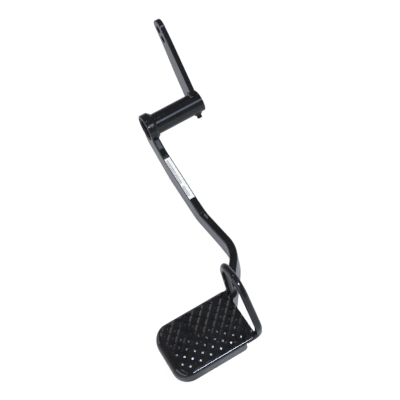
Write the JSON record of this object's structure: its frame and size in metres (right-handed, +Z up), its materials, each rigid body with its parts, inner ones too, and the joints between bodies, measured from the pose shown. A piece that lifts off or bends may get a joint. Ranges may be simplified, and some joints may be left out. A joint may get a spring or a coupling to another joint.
{
  "type": "rear brake pedal",
  "caption": "Black rear brake pedal: pivot tube and eye, flat cranked arm, pressed diamond tread plate, round toe guard, drilled lever and spring peg.",
  "frame": {"origin": "on the pivot axis at the middle of the bore", "axes": "+X forward, +Y inboard along the pivot axis, +Z up, square to the tread"},
  "size_m": [0.3154, 0.1662, 0.1348],
  "materials": {
    "black_paint": "gloss",
    "bush_bronze": "satin",
    "seal_rubber": "matte",
    "label_paper": "satin"
  },
  "bodies": {
    "root": {"pedal_arm": "black_paint", "pivot_tube": "black_paint", "actuating_lever": "black_paint", "spring_peg": "black_paint", "tread_plate": "black_paint", "toe_guard": "black_paint", "eye_weld": "black_paint", "lever_weld_outboard": "black_paint", "lever_weld_inboard": "black_paint", "peg_weld": "black_paint", "plate_weld_outboard": "black_paint", "plate_weld_inboard": "black_paint", "guard_rear_weld": "black_paint", "guard_front_weld": "black_paint", "outer_bush": "bush_bronze", "inner_bush": "bush_bronze", "outer_dust_seal": "seal_rubber", "inner_dust_seal": "seal_rubber", "arm_label": "label_paper"}
  },
  "joints": []
}
